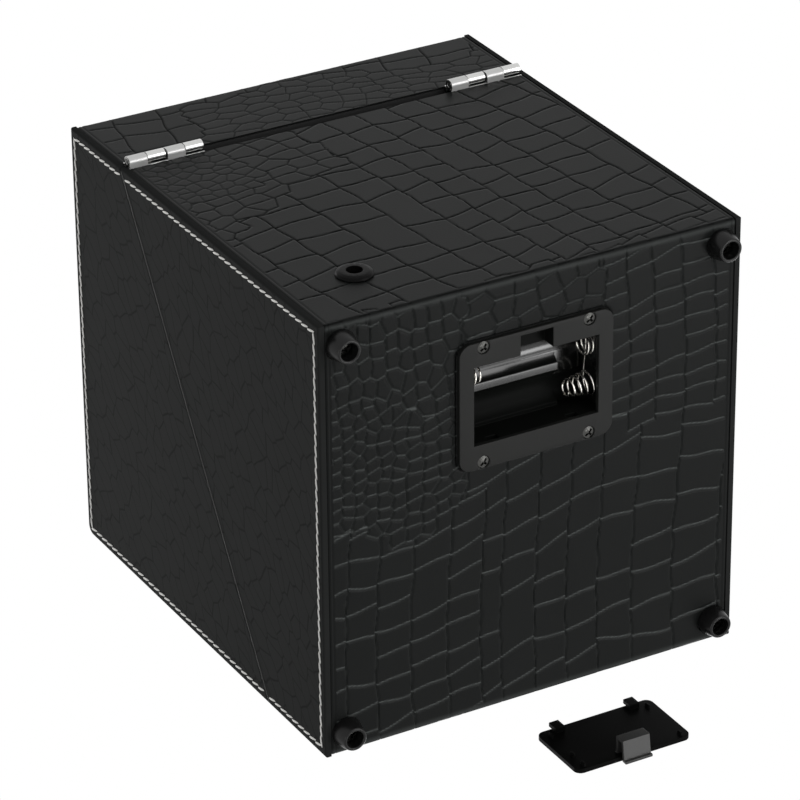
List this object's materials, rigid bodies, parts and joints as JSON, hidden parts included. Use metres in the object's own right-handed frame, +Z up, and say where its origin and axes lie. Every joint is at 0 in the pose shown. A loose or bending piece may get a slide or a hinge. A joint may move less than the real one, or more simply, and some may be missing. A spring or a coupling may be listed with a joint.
{
  "type": "watch winder box",
  "caption": "Leather-covered watch winder box: hinged slanting lid, geared turntable with a watch cushion on a sloping deck, battery tray underneath, loose tray cover and a DC inlet.",
  "frame": {"origin": "on the table under the middle of the box, at the ends of the feet", "axes": "+Z up, front of the box at -Y and hinges at +Y, +X to the right when facing the front"},
  "size_m": [0.18, 0.2243, 0.207],
  "materials": {
    "croc_leather": "embossed, satin",
    "smooth_leather": "smooth, satin",
    "fibreboard": "raw",
    "lining_fabric": "suede",
    "deck_leather": "satin",
    "rubber": "matte",
    "black_screw": "black oxide",
    "tray_plastic": "fine satin",
    "cover_plastic": "satin",
    "nickel": "bright",
    "jack_plastic": "gloss",
    "chrome": "polished",
    "steel": "ground",
    "frame_plastic": "moulded",
    "brass": "turned",
    "gear_plastic": "moulded",
    "cup_fabric": "flocked",
    "cushion_fabric": "suede",
    "pcb": "solder mask",
    "knob_plastic": "satin"
  },
  "bodies": {
    "base": {"base_back_board": "fibreboard", "base_bottom_board": "fibreboard", "base_front_board": "fibreboard", "base_liner": "lining_fabric", "base_side_board_left": "fibreboard", "base_side_board_right": "fibreboard", "base_side_panel_left": "smooth_leather", "base_side_panel_right": "smooth_leather", "base_wrap": "croc_leather", "battery_tray": "tray_plastic", "board_standoffs": "frame_plastic", "contact_bridge": "nickel", "contact_plate": "nickel", "contact_spring": "nickel", "control_board": "pcb", "dc_jack_body": "jack_plastic", "dc_jack_nut": "nickel", "dc_jack_pin": "nickel", "deck": "deck_leather", "deck_battens": "fibreboard", "feet": "rubber", "foot_screws": "black_screw", "frame_screws": "black_screw", "frame_spacers": "frame_plastic", "gear_frame_bottom": "frame_plastic", "gear_frame_top": "frame_plastic", "gear_motor": "steel", "gear_pillars": "frame_plastic", "hinge_base_leaves": "chrome", "hinge_base_screws": "chrome", "hinge_pins": "chrome", "idler_axle": "steel", "mode_switch": "frame_plastic", "motor_screws": "black_screw", "output_bushes": "brass", "pillar_screws": "black_screw", "tray_screws": "black_screw"},
    "lid": {"lid_back_board": "fibreboard", "lid_front_board": "fibreboard", "lid_lining": "lining_fabric", "lid_side_board_left": "fibreboard", "lid_side_board_right": "fibreboard", "lid_side_panel_left": "smooth_leather", "lid_side_panel_right": "smooth_leather", "lid_top_board": "fibreboard", "lid_wrap": "croc_leather", "hinge_lid_leaves": "chrome", "hinge_lid_screws": "chrome"},
    "turntable": {"turntable_cup": "cup_fabric", "hub_screw": "black_screw", "output_shaft": "steel", "output_gear": "gear_plastic"},
    "cushion": {"watch_cushion": "cushion_fabric"},
    "idler": {"idler_gear": "gear_plastic"},
    "motor_rotor": {"motor_pinion": "brass", "motor_shaft": "steel"},
    "mode_knob": {"mode_knob": "knob_plastic", "mode_shaft": "steel"},
    "battery_cover": {"battery_cover": "cover_plastic"}
  },
  "joints": [
    {"name": "lid_hinge", "type": "hinge", "parent": "base", "child": "lid", "pos_m": [0, 0.0917, 0.164], "axis": [-1, 0, 0], "range_deg": [0, 95]},
    {"name": "turntable_spin", "type": "hinge", "parent": "base", "child": "turntable", "pos_m": [0, 0, 0.0961], "axis": [0, -0.5303, 0.8478], "continuous": true},
    {"name": "cushion_lift", "type": "slide", "parent": "turntable", "child": "cushion", "axis": [0, -0.5303, 0.8478], "range_m": [0, 0.07]},
    {"name": "idler_spin", "type": "hinge", "parent": "base", "child": "idler", "pos_m": [-0.04103, 0, 0.0961], "axis": [0, -0.5303, 0.8478], "continuous": true},
    {"name": "motor_spin", "type": "hinge", "parent": "base", "child": "motor_rotor", "pos_m": [-0.06425, 0, 0.0961], "axis": [0, -0.5303, 0.8478], "continuous": true},
    {"name": "knob_turn", "type": "hinge", "parent": "base", "child": "mode_knob", "pos_m": [0.056, -0.06444, 0.05579], "axis": [0, -0.5303, 0.8478], "range_deg": [-60, 60]},
    {"name": "cover_lift", "type": "slide", "parent": "base", "child": "battery_cover", "axis": [0, 0, 1], "range_m": [0, 0.06]}
  ],
  "couplings": [
    {"joint": "idler_spin", "follows": "turntable_spin", "ratio": -4.8571},
    {"joint": "motor_spin", "follows": "turntable_spin", "ratio": 18.619}
  ]
}
